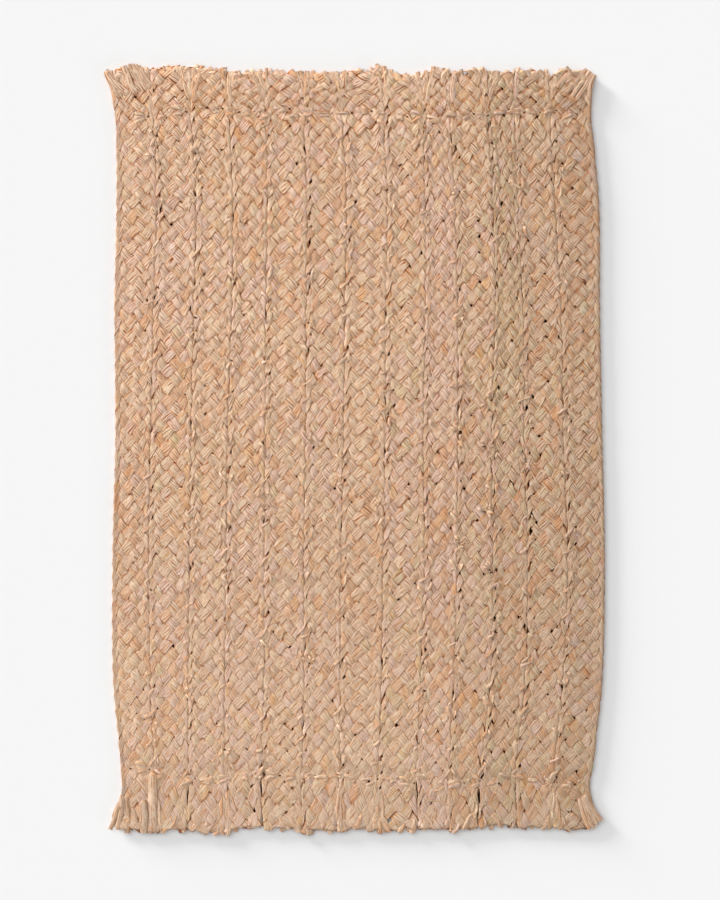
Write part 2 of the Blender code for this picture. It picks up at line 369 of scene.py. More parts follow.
weaving = {  # lengths along a strand are counted in crossings
    "foldRadius": 0.15,
    "rare": 0.72,  # how high the noise has to be for a hole
    "sewn": 0.13,  # how much less right of a seam, where the sewing pulls
    "pinch": 0.42,  # how much of a strand's half width a hole takes
    "leanFrom": 2.4,  # how far from its cut ends a strand's sections start to lean
    "band": {"across": 0.3, "up": 0.65},  # powers that press a round tube to a flat band
}


def plaitTree(inputs):
    tree, bench, given = geometryTree("raffiaPlait", inputs)
    count = float(plait["strands"])

    # a closed tube for each strand, eight sided, whose height says how far along the strand it is
    tube = bench.wire("GeometryNodeMeshCylinder", {"fill_type": "NGON"}, {
        "Vertices": 8, "Side Segments": given["Sections"], "Radius": 1.0, "Depth": 1.0,
    }, "Mesh")
    seats = bench.wire("GeometryNodePoints", {}, {"Count": given["Strands"]})
    numbered = bench.keep(seats, "strand", bench.wire("GeometryNodeInputIndex"))
    copies = bench.work("GeometryNodeInstanceOnPoints", numbered, {"Instance": tube})
    loose = bench.work("GeometryNodeRealizeInstances", copies)

    across, rise, share = bench.parts(bench.wire("GeometryNodeInputPosition"))
    strand = bench.kept("strand")
    section = ((share + 0.5) * given["Sections"]).nearest()
    place = (section + given["First section"]) / given["Sections per crossing"] + strand * 2.0

    def fold(at):  # how far past its nearest edge fold a place is, and the side of the plait it folds on
        turn = (at / count).nearest()
        return at - turn * count, turn % 2.0

    def overUnder(phase):  # over at the first crossing after a fold, then under and over in turn
        near = abs(phase) < 1.0
        inner = (phase * (math.pi / 2)).sin()
        outer = ((abs(phase) - 1.0) * math.pi).cos() * phase.sign()
        return near * inner + (1.0 - near) * outer

    # each rim of a strand wanders on its own, and now and then draws in and opens a small hole,
    # most often at the first crossing right of a seam, where the sewing pulls
    own = strand * 7.3 + given["Seed"] * 31.0
    rim = own + across.sign() * 1.7
    wander = bench.noise(place * 0.45, rim, Detail=1.0) - 0.5
    bare, far = fold(place)
    sewn = (1.0 - abs(abs(bare) - 1.0).swell(0.2, 0.8)) * (1.0 - far)
    shut = (1.0 - far) * given["Left shut"] + far * given["Right shut"]
    rare = weaving["rare"] - given["Holes"] * 0.20 - sewn * weaving["sewn"] + (abs(bare) < 2.5) * shut
    pinch = (bench.noise(place * 0.8, rim + 400.0, Detail=0.0) - rare).swell(0.0, 0.06)
    wide = 1.04 - given["Narrowing"] * (wander * 2.4 + 0.3) - weaving["pinch"] * pinch
    wide = wide * (1.0 + overUnder(bare) * given["Bulge"])
    drift = (bench.noise(place * 0.3, own + 90.0, Detail=0.0) - 0.5) * given["Narrowing"] * 2.0
    offset = abs(across).power(weaving["band"]["across"]) * across.sign() * wide + drift

    # a section is upright inside the plait and lies level at the cut ends
    along = section / given["Sections per crossing"]
    left = (given["Sections"] - section) / given["Sections per crossing"]
    cut = 1.0 - along.maths("MINIMUM", left).swell(0.0, weaving["leanFrom"])
    tilted = bench.noise(strand * 9.1, given["Seed"] * 5.0, Detail=0.0) * 1.2 + 0.3
    lean = offset * cut * tilted

    past, odd = fold(place - lean)
    radius = weaving["foldRadius"]
    reach = (past * past + radius * radius).sqrt()
    u = odd * count + (1.0 - odd * 2.0) * reach
    eta = place - strand * 2.0 + offset - lean

    wave = overUnder(fold(place + offset * 0.5 - lean)[0])
    wave = (wave + given["Lead"]) / (given["Lead"] + 1.0)
    wave = wave * 2.0 / (wave * wave + 1.0)
    lift = bench.noise(place * 0.5, own + 77.0, Detail=0.0)
    roll = bench.noise(place * 0.6, own + 55.0, Detail=0.0) - 0.5
    height = wave * given["Swing"] * (0.55 + lift * 0.8) + across * roll * 0.5

    # the strand turns over at a fold, so its thickness swings round through the plait's plane
    leg = (1.0 - odd * 2.0) * past / reach
    out = radius / reach
    crease = bench.noise(place * 0.35, across * 2.4 + own, Detail=1.0)
    body = abs(rise).power(weaving["band"]["up"]) * rise.sign()
    thick = body * given["Half thickness"] * (0.4 + crease * 1.2)
    x = u * given["Half width"] - out * thick
    y = eta * given["Half pitch"]
    z = height + leg * thick

    turn = (rise.maths("ARCTAN2", across) * (4 / math.pi)).nearest() % 8.0
    # painted shade in the small holes: their rims get a deep brown
    pit = pinch * abs(across).swell(0.5, 0.95)
    # painted shade: the stored wave darkens the face where the strand dips under its neighbours, and the
    # edge term darkens its two side edges
    edgeShade = (abs(rise) < 0.1) * 0.7
    notes = {"place": place, "turn": turn, "wave": wave * rise.sign() * leg - edgeShade, "pit": pit}
    for label, value in notes.items():
        loose = bench.keep(loose, label, value)
    spot = bench.spot(x * mm, y * mm, z * mm)
    bench.finish(bench.work("GeometryNodeSetPosition", loose, {"Position": spot}), given["Raffia"])
    return tree


# One row for each strip: where its loops fall against its neighbour's, its pitch against the usual
# one, how many small holes it has, how light it is, and the shares of the five tans among its strands.
stripLooks = named("phase pitch holes light sand straw blush olive amber", (
    (0.0, 1.00, 0.05, 1.05, 8, 4, 2, 0, 1),
    (1.3, 1.02, 0.05, 1.05, 8, 3, 4, 0, 1),
    (0.6, 0.98, 0.10, 1.05, 7, 3, 4, 0, 1),
    (1.7, 1.01, 0.05, 1.04, 8, 3, 4, 0, 1),
    (0.3, 0.99, 0.10, 1.03, 7, 4, 4, 0, 1),
    (1.1, 1.02, 0.10, 1.01, 7, 4, 4, 0, 1),
    (1.8, 1.00, 0.10, 1.01, 7, 4, 2, 0, 1),
    (0.5, 1.03, 0.20, 1.00, 6, 4, 2, 1, 1),
    (1.4, 1.00, 0.20, 1.00, 6, 1, 7, 0, 1),
    (0.2, 1.05, 0.35, 0.93, 7, 3, 3, 1, 1),
    (0.9, 1.06, 0.40, 0.87, 4, 2, 1, 6, 1),
    (1.6, 1.04, 0.35, 0.87, 5, 2, 1, 2, 4),
    (0.7, 1.01, 0.20, 0.89, 6, 4, 1, 1, 2),
))
tans = {
    "sand": linear(221, 187, 156),
    "straw": linear(223, 191, 158),
    "blush": linear(221, 187, 162),
    "olive": linear(217, 188, 153),
    "amber": linear(220, 178, 142),
}
# How often a single cell is plain, orange, pale or greenish, and what that does to its tan.
oddCells = (
    (0.905, (1.0, 1.0, 1.0)), (0.03, (1.02, 0.91, 0.77)),
    (0.05, (1.04, 1.07, 1.11)), (0.015, (0.97, 0.99, 0.92)),
)


def strandTones(strip, strand, place):  # a strand is spliced from lengths of raffia in different tans
    look = stripLooks[strip]
    rng = dice("tones", number=strip)
    oddShares, oddTones = zip(*oddCells)
    shares = np.array([look[name] for name in tans], float)
    palette = np.array(list(tans.values()))
    cells = np.round(place).astype(int)
    cells -= cells.min()
    tones = np.zeros((len(place), 3))
    for number in range(plait["strands"]):
        mine = strand == number
        count = cells[mine].max() + 1
        spliced = np.zeros(count, int)
        at = 0
        while at < count:
            length = rng.integers(6, 26)
            spliced[at:at + length] = rng.choice(len(palette), p=shares / shares.sum())
            at += length
        bright = look["light"] * rng.normal(1.0, 0.03, count)[:, None] * rng.normal(1.0, 0.006, 3)
        stained = np.array(oddTones)[rng.choice(len(oddTones), count, p=oddShares)]
        tones[mine] = (palette[spliced] * bright * stained)[cells[mine]]
    return tones


def endReach(strip, end):  # how far each strand of a strip's end reaches, from the frame
    left, right = sides(strip, sideHeights[-1 if end == "top" else 0])
    places = left + (right - left) * strandMiddles
    low, high = crossings(stripNames[strip], 0, 1, places).T
    return high if end == "top" else low


def lighter(part, at):
    paintedLight, low, high = plait["paintedLight"][part]
    return paintedLight * swell(at, low, high)


def layPlait(strip, mesh):
    rng = dice("laying", number=strip)
    x, y, z = readPoints(mesh).T
    strand = readValues(mesh, "strand").round()
    place = readValues(mesh, "place")
    share = x / plait["width"]
    y = y + stripLooks[strip]["phase"] * plait["pitch"] / 2
    row = {}
    for end, sign in ends.items():
        left, right = sides(strip, rowHeights[end].mean())
        row[end] = rowHeight(end, left + (right - left) * share)
        reach = np.interp(share, strandMiddles, endReach(strip, end))
        last = sign * ((sign * y).max() - 0.3)
        ragged = rng.uniform(*plait["ragged"][end], plait["strands"])[strand.astype(int)]
        past = swell(sign * y, sign * row[end].mean(), sign * last)
        y = y + (reach + sign * ragged - last) * past

    # between its seams
    left, right = sides(strip, y)
    close = plait["close"] + plait["tailClose"] * tailShare(y)
    waist = swell(-y, *plait["waistFrom"]) * fade(-y, *plait["waistTo"])
    out = [plait["outset"][side] - plait["waist"][side] * waist for side in (0, 1)]
    left = left - (close - seamGap(strip, y) if strip > 0 else out[0])
    right = right + (close - seamGap(strip + 1, y) if strip < stripCount - 1 else out[1])
    drawn = share - plait["steepEdges"] * np.sin(2 * np.pi * share) / (2 * np.pi)
    x = left + (right - left) * drawn

    # its relief, pressed by the end rows and lifted at the mat's edges
    z = z * np.where(z < 0, plait["belly"], np.interp(y, plait["reliefAt"], plait["relief"]))
    arch = np.clip(np.sin(np.pi * np.clip(share, 0, 1)), 0, 1) ** 0.5
    pressed = 1 - plait["pressed"] * sum(fade(abs(y - row[end]), *plait["pressedOver"]) for end in ends)
    z = (plait["middle"] + z * (1 - plait["crown"] * (1 - arch))) * pressed
    curl, over = plait["curl"], plait["curlOver"]
    lifted = curl["left"] * fade(x - left, *over["left"]) * (strip == 0)
    lifted += curl["right"] * fade(right - x, *over["right"]) * (strip == stripCount - 1)
    endLift = np.where(y > 0, curl["top"], curl["bottom"]) * swell(abs(y), *over["ends"])
    z = z + np.maximum(lifted, endLift)
    writePoints(mesh, np.stack((x, y, np.maximum(z, 0.02)), 1))

    dark, *rimShadeWide = plait["rimShade"]
    rimShade = fade(x - left, *rimShadeWide)
    uneven, *unevenFrom = plait["mottle"]
    mottle = rng.normal(0, uneven, 900)[(strand * 200 + np.round(place)).astype(int) % 900]
    # painted light and shade: lighter near the left edge and in the top end, darker near the right edge,
    # towards the bottom and on the left rim; the mottle is the cells' own uneven tone
    light = 1 + (strip == 0) * (lighter("left", left - x) * (1 - rimShade) + dark * rimShade)
    light += lighter("right", x - right) * (strip == stripCount - 1)
    light += lighter("top", y) + lighter("low", -y) + lighter("bottom", -y) + mottle * swell(y, *unevenFrom)
    return strand, place, light


def creaseShoulders(mesh):  # a strand is a flat band, so its two long shoulders stay crisp
    turns = np.round(readValues(mesh, "turn"))
    a, b = turns[readEdges(mesh)].T
    crisp = mesh.attributes.new("sharp_edge", "BOOLEAN", "EDGE")
    crisp.data.foreach_set("value", (a == b) & (a % 2 == 1))


wrap = {
    "apart": 40,  # between strands in their own map
    "aspect": 20,  # of a strand in the map for baking
    "side": 0.01,  # margins round it there, as shares of its place
    "foot": 0.06,
    "turn": 0.11,  # and from one of its eight lines to the next
}


def wrapStrands(mesh, along, strand, lengths, per, step, shift):
    # the strands' own lengthwise map in millimetres, and one with no overlaps for baking
    creaseShoulders(mesh)
    turns = np.round(readValues(mesh, "turn"))
    corners = read(mesh.loops, "vertex_index", 1, np.int32)
    firsts = read(mesh.polygons, "loop_start", 1, np.int32)
    sizes = read(mesh.polygons, "loop_total", 1, np.int32)

    def spread(values):  # a value for each face, given to its corners
        return np.repeat(values, sizes)

    turn = turns[corners]
    wraps = (spread(np.maximum.reduceat(turn, firsts)) == 7) & (spread(sizes) == 4)
    wraps &= spread(np.minimum.reduceat(turn, firsts)) == 0
    turn = np.where(wraps & (turn == 0), 8, turn)
    lengthwise = along[corners]
    part = np.minimum(spread(np.minimum.reduceat(lengthwise, firsts)) // per, lengths - 1)
    cell = strand[corners] * lengths + part
    columns = math.ceil(math.sqrt((strand.max() + 1) * lengths / wrap["aspect"]))
    rows = math.ceil((strand.max() + 1) * lengths / columns)
    own = np.stack((lengthwise * step, turn * shift[0] + strand[corners] * wrap["apart"] + shift[1]), 1)
    reach = wrap["side"] + (1 - 2 * wrap["side"]) * (lengthwise - part * per) / per
    height = wrap["foot"] + turn * wrap["turn"]
    bake = np.stack(((cell % columns + reach) / columns, (cell // columns + height) / rows), 1)
    for name, values in (("strandUv", own), ("OFBake", bake)):
        layer = mesh.uv_layers.new(name=name)
        layer.data.foreach_set("uv", values.astype(np.float32).ravel())


def paintPoints(mesh, name, tones):
    layer = mesh.attributes.new(name, "FLOAT_COLOR", "POINT")
    layer.data.foreach_set("color", np.c_[tones, np.ones(len(tones))].astype(np.float32).ravel())


raffia = {
    "roughness": 0.62,
    "specular": 0.25,
    # shade: painted shade, darker brown where a strand dips under its neighbours, along its edges and where
    # a ribbon goes down into the weave
    "shade": ((0.20, (0.53, 0.26, 0.13, 1)), (0.50, (0.91, 0.72, 0.55, 1)), (0.72, (1, 1, 1, 1))),
    # painted shade, deep brown, in the small holes and where a ribbon goes down a stitch hole
    "pit": ((0.35, (1, 1, 1, 1)), (0.90, (0.15, 0.085, 0.05, 1))),
    # the folds' lines: painted shade in each fold and a painted highlight beside it, over the raffia's own
    # brown fold lines
    "line": ((0.0, (0.36, 0.12, 0.04, 1)), (0.14, (0.50, 0.24, 0.11, 1)), (0.28, (1.0, 0.99, 0.98, 1)),
             (0.45, (1.04, 1.06, 1.09, 1)), (0.92, (1.03, 1.04, 1.07, 1)), (1.0, (0.66, 0.43, 0.29, 1))),
    "fibre": ((0.28, (0.66, 0.41, 0.25, 1)), (0.48, (1, 1, 1, 1)), (0.72, (1.05, 1.17, 1.30, 1))),
    "stain": ((0.62, (1, 1, 1, 1)), (0.68, (0.97, 0.85, 0.71, 1))),
    "apart": 1.25,  # between the folds that line a strand, in millimetres
    "stray": 1.3,  # how far the folds wander, as a share of that
    "faint": 0.40,  # the share of a fold's line that can fade away
    "grain": 0.00026,
    "calm": 0.22,  # how much the fold lines and the painted shade in the hollows fade towards the bottom of the mat
    "calmOver": (-0.24, 0.24),  # in metres, as the material reads them
    "deep": 0.08,  # and how much the painted shade in the hollows deepens in its top end
    "deepFrom": (0.200, 0.215),
    "fine": {  # how fine each pattern is, along and across a strand, and where in the noise it lies
        "wander": (0.035, 0.30, 0.0), "fading": (0.17, 0.45, 13.0),
        "fibre": (0.26, 1.9, 7.0), "stain": (0.02, 0.4, 31.0),
    },
}


def raffiaMaterial(name, look):
    material, bench, shader = newMaterial(name)
    along, across = bench.parts(bench.wire("ShaderNodeUVMap", {"uv_map": "strandUv"}))[:2]

    def pattern(name, **sockets):
        fine = look["fine"][name]
        return bench.noise(along * fine[0], across * fine[1], fine[2], **sockets)

    def noted(name, output="Fac"):  # what a strand's points say
        return bench.wire("ShaderNodeAttribute", {"attribute_name": name}, {}, output)

    upward = bench.parts(bench.wire("ShaderNodeTexCoord", {}, {}, "Object"))[1]
    calm = (-upward).swell(*look["calmOver"]) * look["calm"]
    deep = upward.swell(*look["deepFrom"]) * look["deep"]
    line = (across / look["apart"] + pattern("wander", Detail=1.0) * look["stray"] * 2.0) % 1.0
    fading = pattern("fading", Detail=0.0).swell(0.47, 0.64) * look["faint"]
    for least in (fading, calm, noted("plain")):
        line = line.maths("MAXIMUM", least)
    fibre = pattern("fibre", Detail=2.0, Roughness=0.65)
    # the shade and hole ramps are painted shade, line is the folds' painted shade and highlight over their
    # own brown, fibre and stain are the raffia's own colour
    drawn = {
        "shade": noted("wave") * 0.5 + 0.5 + calm * 0.4 - deep, "pit": noted("pit"),
        "line": line, "fibre": fibre, "stain": pattern("stain", Detail=0.0),
    }
    mixed = noted("strandTone", "Color")
    for ramp, value in drawn.items():
        tint = bench.wire("ShaderNodeValToRGB", {"stops": look[ramp]}, {"Fac": value})
        blending = {"data_type": "RGBA", "blend_type": "MULTIPLY", "clamp_result": False}
        sockets = {"Factor_Float": 1.0, "A_Color": mixed, "B_Color": tint}
        mixed = bench.wire("ShaderNodeMix", blending, sockets, "Result_Color")
    bench.plug(shader["Base Color"], mixed)
    bench.plug(shader["Roughness"], fibre * 0.25 + (look["roughness"] - 0.12))
    shader["Specular IOR Level"].default_value = look["specular"]
    relief = {"Strength": 1.0, "Distance": look["grain"], "Height": line.swell(0.0, 0.3) * 0.6 + fibre}
    bench.plug(shader["Normal"], bench.wire("ShaderNodeBump", {}, relief))
    return material


def plaitInputs(strip):  # what each strip gives the plait's tree
    look = stripLooks[strip]
    halfPitch = plait["pitch"] * look["pitch"] / 2
    return {
        "Strands": plait["strands"],
        "Sections": round((plait["highest"] - plait["lowest"]) / halfPitch * plait["columns"]),
        "Sections per crossing": float(plait["columns"]),
        "First section": float(round(plait["lowest"] / halfPitch * plait["columns"])),
        "Half width": plait["width"] / plait["strands"],
        "Half pitch": halfPitch,
        "Swing": plait["swing"],
        "Half thickness": plait["halfThick"],
        "Lead": plait["lead"],
        "Narrowing": plait["narrowing"],
        "Bulge": plait["bulge"],
        "Left shut": float(strip == 0),
        "Right shut": float(strip == stripCount - 1),
        "Holes": look["holes"],
        "Seed": float(strip + 1),
        "Raffia": plaitRaffia,
    }


laid = []
pinholes = []  # those that show on each plait's face
plaitRaffia = raffiaMaterial("plaitRaffia", raffia)
weave = plaitTree(plaitInputs(0))
for strip, name in enumerate(stripNames):
    inputs = plaitInputs(strip)
    sections = inputs["Sections"]
    crossing = math.hypot(inputs["Half width"], inputs["Half pitch"])  # how long a strand is to the next one
    piece = grow("plait_%02d" % (strip + 1), weave, inputs)
    strand, place, light = layPlait(strip, piece.data)
    paintPoints(piece.data, "strandTone", strandTones(strip, strand, place) * light[:, None])
    start = place - strand * 2
    wrapStrands(piece.data, np.round((start - start.min()) * plait["columns"]), strand, 3,
                math.ceil(sections / 3), crossing / plait["columns"], (3.0, 300.0 * strip))
    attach(piece, "root")
    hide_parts(name)
    length = sections / plait["columns"] * crossing
    length * mm
    points = readPoints(piece.data)
    laid.append(points)
    pinholes.append(points[(readValues(piece.data, "pit") > 0.8) & (points[:, 2] > plait["middle"]), :2])
print("plaits laid")


# The sewing lies on the plaits, so this is how high they are: the top of each small square of them.
square = 1.2
bareTop = 0.9  # where there is no plait
laidPoints = np.concatenate(laid)
cornerOfGrid = laidPoints[:, :2].min(0)
cells = ((laidPoints[:, :2] - cornerOfGrid) / square).astype(int)
tops = np.full(cells.max(0) + 1, bareTop)
np.maximum.at(tops, tuple(cells.T), laidPoints[:, 2])
beside = [(i, j) for i in (-1, 0, 1) for j in (-1, 0, 1)]
tops = np.max([np.roll(tops, step, (0, 1)) for step in beside], axis=0)


def topAt(x, y):
    at = ((np.stack((x, y), 1) - cornerOfGrid) / square).astype(int)
    at = np.clip(at, 0, np.array(tops.shape) - 1)
    return tops[at[:, 0], at[:, 1]]


thread = {
    "step": 1.2,  # from one section of a ribbon to the next
    "section": (0.4, 0.65),  # powers that press its round section to a flat band
    "edges": 1.5,  # how much painted shade darkens its two edges
    "turn": 1.15,  # from one of its eight lines to the next, in its own map
    "shift": 9000.0,  # where that map lies, past those of the plaits
}


def ribbonTree(material):
    inputs = {"Step": thread["step"] * mm, "Flatness": 0.12, "Raffia": material}
    tree, bench, given = geometryTree("raffiaRibbon", inputs, body=True)
    lines = bench.work("GeometryNodeMeshToCurve", given["Geometry"])
    curved = bench.work("GeometryNodeCurveSplineType", lines, {}, {"spline_type": "CATMULL_ROM"})
    even = bench.work("GeometryNodeResampleCurve", curved, {"Length": given["Step"]}, {"mode": "LENGTH"})
    upright = bench.work("GeometryNodeSetCurveNormal", even, {}, {"mode": "Z_UP"})
    rolled = bench.work("GeometryNodeSetCurveTilt", upright, {"Tilt": bench.kept("roll")})
    length = bench.wire("GeometryNodeSplineParameter", {}, {}, "Length")
    measured = bench.keep(rolled, "along", length / mm)

    ring = bench.wire("GeometryNodeCurvePrimitiveCircle", {}, {"Resolution": 8, "Radius": 1.0})
    numbered = bench.keep(ring, "turn", bench.wire("GeometryNodeInputIndex"))
    across, rise = bench.parts(bench.wire("GeometryNodeInputPosition"))[:2]
    x = abs(across).power(thread["section"][0]) * across.sign()
    y = abs(rise).power(thread["section"][1]) * rise.sign() * given["Flatness"]
    flat = bench.work("GeometryNodeSetPosition", numbered, {"Position": bench.spot(x, y)})
    scale = bench.kept("width") * (mm / 2)
    sockets = {"Profile Curve": flat, "Scale": scale, "Fill Caps": True}
    bench.finish(bench.work("GeometryNodeCurveToMesh", measured, sockets), given["Raffia"])
    return tree


def ribbonLines(name, ribbons):  # one mesh of open lines, with each ribbon's looks on its points
    counts = [len(r["path"]) for r in ribbons]
    starts = np.cumsum([0] + counts)
    edges = [(s + i, s + i + 1) for s, n in zip(starts, counts) for i in range(n - 1)]
    mesh = bpy.data.meshes.new(name + "Lines")
    mesh.from_pydata((np.concatenate([r["path"] for r in ribbons]) * mm).tolist(), edges, [])
    for label in ("width", "roll", "wave", "pit", "plain"):
        spread = [np.broadcast_to(r.get(label, 0.0), n) for r, n in zip(ribbons, counts)]
        writeValues(mesh, label, np.concatenate(spread))
    writeValues(mesh, "ribbon", np.repeat(np.arange(len(ribbons)), counts))
    paintPoints(mesh, "strandTone", np.repeat([r["tone"] for r in ribbons], counts, axis=0))
    return mesh


def layRibbons(name, ribbons, flatness):
    values = {"Step": thread["step"] * mm, "Flatness": flatness, "Raffia": plaitRaffia}
    piece = grow(name, ribbonWeave, values, body=ribbonLines(name, ribbons))
    mesh = piece.data
    # painted shade along each ribbon's two edges
    edge = np.round(readValues(mesh, "turn")) % 4 == 0
    writeValues(mesh, "wave", readValues(mesh, "wave") - thread["edges"] * edge)
    along = readValues(mesh, "along")
    wrapStrands(mesh, along, readValues(mesh, "ribbon").round(), 1, along.max() + 1, 1.0,
                (thread["turn"], thread["shift"]))
    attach(piece, "root")
    return piece


def tanFor(rng, light=1.0, names=("sand", "sand", "straw", "straw", "blush", "amber")):
    return np.array(tans[names[rng.integers(len(names))]]) * light * rng.normal(1.0, 0.05)


def stitchLight(strip):
    return stitching["light"] * stripLooks[strip]["light"]


def stripAt(x):
    return int(np.clip((x + 160.0) / plait["width"], 0, stripCount - 1))


def seamAt(seam, y):  # the middle of a seam, or the mat's own side at each end
    y = np.asarray(y, float)
    if seam == 0:
        return sides(0, y)[0]
    if seam == stripCount:
        return sides(stripCount - 1, y)[1]
    return (sides(seam - 1, y)[1] + sides(seam, y)[0]) / 2


run = {
    "step": 1.3,  # between the points of a path
    "sway": 0.25,
    "sink": (-0.3, 2.3),  # how far from a hole a path goes down into it
}


def runOver(start, end, bow, rise, rng, dive=0.9, flat=0.4, cut=False):
    # a path on the plaits from hole to hole, or to a cut tip, and how far its points are from a hole
    start, end = np.array(start), np.array(end)
    length = np.hypot(*(end - start))
    share = np.linspace(0, 1, max(6, int(length / run["step"])))
    side = np.array((start[1] - end[1], end[0] - start[0])) / length
    turns = share * rng.uniform(1, 2) + rng.uniform()
    sway = bow * np.sin(np.pi * share) + run["sway"] * np.sin(2 * np.pi * turns)
    path = start + (end - start) * share[:, None] + side * sway[:, None]
    z = topAt(*path.T)
    z = z.mean() + (z - z.mean()) * flat + rise
    sunk = np.minimum(share, 1 - share * (not cut)) * length
    z = dive + (z - dive) * swell(sunk, *run["sink"])
    return np.c_[path, z], sunk


def farFrom(path, point):  # how far a path's points are from one of them
    return np.hypot(*(path[:, :2] - path[point, :2]).T)


stitching = {
    "every": (6.5, 13.5),  # along a seam
    "out": (2.6, 5.6),  # from the seam to the hole a stitch comes up
    "back": (0.4, 1.8),  # and to the one it goes down
    "leftFirst": 0.6,  # how often it comes up left of the seam
    "climb": (4.0, 9.0),
    "upward": 0.85,  # how often it climbs up the mat and not down
    "leaves": (1, 2, 2),  # that share a hole, from both sides of the seam
    "apart": (0.5, 3.0),  # between the starts of two of them
    "pinhole": (0.8, 6.0),  # right of the seam, where it may go down
    "near": 5.0,
    "width": (1.2, 2.4),
    "stars": 0.06,  # the share of a seam's holes that have leaves all round
    "seamEnds": 6,  # how far from the end rows the seams' stitches stay
    "row": (8.0, 14.0),  # from one hole of an end row to the next
    "rowWave": (-1.8, 1.8),  # how far such a hole lies off its row
    "rowHoleShadows": 0.75,  # the share of them that stay open, each shown by a painted shadow
    "holeShadow": (0.6, 1.3),
    "rise": 0.24,
    "pile": {"seam": 0.15, "bunch": 0.08},  # how much higher each next leaf of a hole lies
    "light": 0.98,
    "flatness": {"seam": 0.08, "row": 0.09},
}
# Leaves drawn down one hole: how long and wide they are, the turns they come from, in degrees, how
# much their circle is stretched up the mat, and how far they stand up.
bunches = {
    "star": {"length": (3.5, 6.5), "width": (1.2, 2.4), "turns": (0, 360), "stretch": 1.0, "rise": 0.1},
    "knot": {"length": (5.0, 8.0), "width": (1.2, 2.1), "turns": (0, 360), "stretch": 1.2, "rise": 0.12},
    "left": {"length": (6.0, 13.0), "width": (1.5, 2.9), "turns": (148, 216), "stretch": 0.8, "rise": -0.20},
    "above": {"length": (3.5, 6.5), "width": (1.5, 2.9), "turns": (20, 160), "stretch": 1.0, "rise": -0.20},
    "below": {"length": (3.5, 6.5), "width": (1.5, 2.9), "turns": (200, 350), "stretch": 1.0, "rise": -0.20},
}


def stitch(strip, start, end, width, bow, rng, rise=0.0):  # it narrows where it is drawn down its holes
    path, sunk = runOver(start, end, bow, stitching["rise"] + rise, rng)
    return {
        "path": path,
        "width": width * (0.55 + 0.45 * swell(sunk, 0, 3)) * (0.35 + 0.65 * swell(farFrom(path, -1), 0, 5)),
        "roll": rng.normal(0, 0.08) + 0.10 * np.sin(np.linspace(0, rng.uniform(2, 6), len(path))),
        # painted shade where the stitch goes down into its holes
        "wave": -0.5 + 1.5 * swell(sunk, 0.0, 1.5),
        "pit": fade(sunk, 0.5, 1.7),
        "tone": tanFor(rng, stitchLight(strip)),
    }


def bunch(kind, strip, hole, count, rng):
    sizes = bunches[kind]
    ribbons = []
    for leaf in range(count):
        turn = math.radians(rng.uniform(*sizes["turns"]))
        cos, sin = math.cos(turn), math.sin(turn)
        length = rng.uniform(*sizes["length"]) * (0.75 + 0.25 * abs(cos))
        start = (hole[0] + length * cos, hole[1] + length * sin * sizes["stretch"])
        if not seamAt(0, start[1]) + 1.0 < start[0] < seamAt(stripCount, start[1]) - 1.0:
            continue
        finish = (hole[0] + 0.7 * cos, hole[1] + 0.7 * sin)
        ribbons.append(stitch(strip, start, finish, rng.uniform(*sizes["width"]), rng.normal(0, 0.6), rng,
                              sizes["rise"] + leaf * stitching["pile"]["bunch"]))
    return ribbons


def holeShadow(hole, rng):  # a painted shadow: a small near-black ribbon for the shade in a hole that the leaves round it leave open
    width = rng.uniform(*stitching["holeShadow"])
    half = np.array((rng.uniform(0.5, 0.9), rng.uniform(-0.4, 0.4)))
    path = np.linspace(np.array(hole) - half, np.array(hole) + half, 5)
    path = np.c_[path, np.full(5, topAt(*path.T).max() - 0.1)]
    return {"path": path, "width": width, "pit": 1.0, "tone": np.array(tans["straw"])}


def seamStitches(seam):  # each goes down a pinhole right of the seam, where one is near
    rng = dice("seams", number=seam)
    low, high = (rowHeights[end].mean() - ends[end] * stitching["seamEnds"] for end in ("bottom", "top"))
    beside = pinholes[seam][:, 0] - seamAt(seam, pinholes[seam][:, 1])
    nearest, farthest = stitching["pinhole"]
    holes = pinholes[seam][(beside > nearest) & (beside < farthest)]
    y = low + rng.uniform(0, 8)
    ribbons = []
    while y < high:
        near = holes[abs(holes[:, 1] - y) < stitching["near"]]
        end = (float(seamAt(seam, y)) + rng.uniform(*stitching["back"]), y)
        if len(near):
            end = near[rng.integers(len(near))]
        if rng.uniform() < stitching["stars"]:
            ribbons += bunch("star", seam - 1, end, rng.integers(3, 6), rng)
            ribbons.append(holeShadow(end, rng))
        climb = rng.uniform(*stitching["climb"]) * (1 if rng.uniform() < stitching["upward"] else -1)
        side = -1 if rng.uniform() < stitching["leftFirst"] else 1
        for leaf in range(rng.choice(stitching["leaves"])):
            x = float(seamAt(seam, y)) + side * (-1) ** leaf * rng.uniform(*stitching["out"])
            start = (x, end[1] - climb + leaf * rng.uniform(*stitching["apart"]))
            width = rng.uniform(*stitching["width"])
            rise = leaf * stitching["pile"]["seam"]
            ribbons.append(stitch(seam - 1, start, end, width, rng.normal(0, 0.35), rng, rise))
        y = max(end[1], y) + rng.uniform(*stitching["every"])
    return ribbons


# Knots in the plaits: where, how many leaves gather there and how many holes they leave, each darkened by a
# painted shadow.
knotPlaces = named("x y leaves holes", (
    (-130.3, 191.4, 7, 1), (-103.0, 191.4, 7, 1), (15.9, -37.4, 7, 1), (66.0, 44.5, 8, 1),
    (67.9, 12.0, 6, 1), (84.8, -40.6, 7, 1), (88.7, -78.3, 6, 2), (87.0, 31.0, 6, 1),
    (85.5, 2.0, 6, 1), (66.0, -62.0, 6, 1),
))


